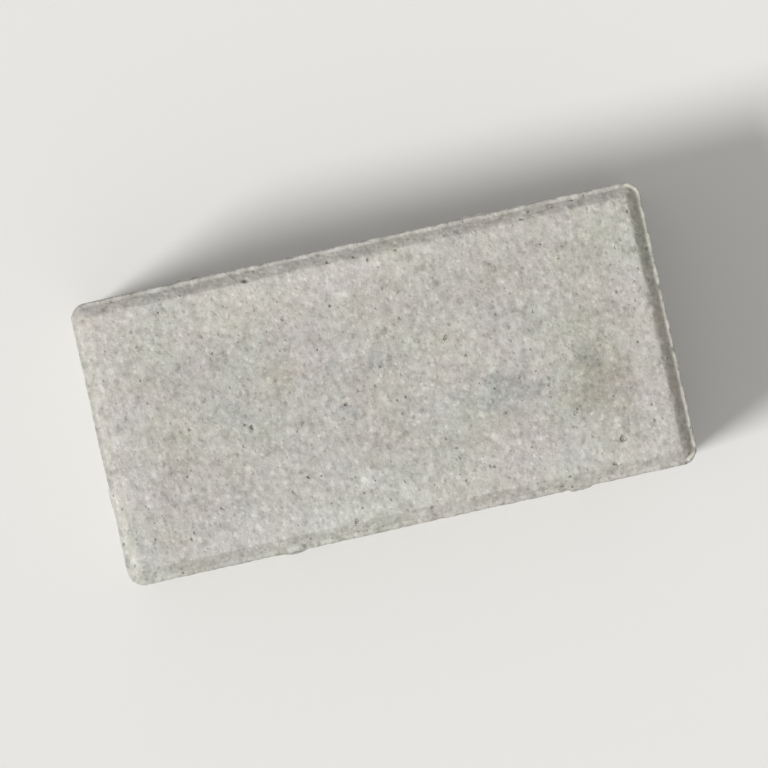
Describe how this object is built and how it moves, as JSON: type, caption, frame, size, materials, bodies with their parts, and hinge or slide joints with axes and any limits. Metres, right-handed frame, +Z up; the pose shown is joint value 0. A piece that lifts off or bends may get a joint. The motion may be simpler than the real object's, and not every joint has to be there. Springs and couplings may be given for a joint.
{
  "type": "concrete paving stone",
  "caption": "Rectangular grey concrete paving stone with a bevelled flat top, rounded upright corners and low spacer nibs on its sides.",
  "frame": {"origin": "middle of the bed face, on the ground", "axes": "+X along the long side, +Y along the short side, +Z up through the wearing face"},
  "size_m": [0.201, 0.101, 0.06],
  "materials": {
    "concrete": "matte"
  },
  "bodies": {
    "root": {"paving_stone": "concrete"}
  },
  "joints": []
}
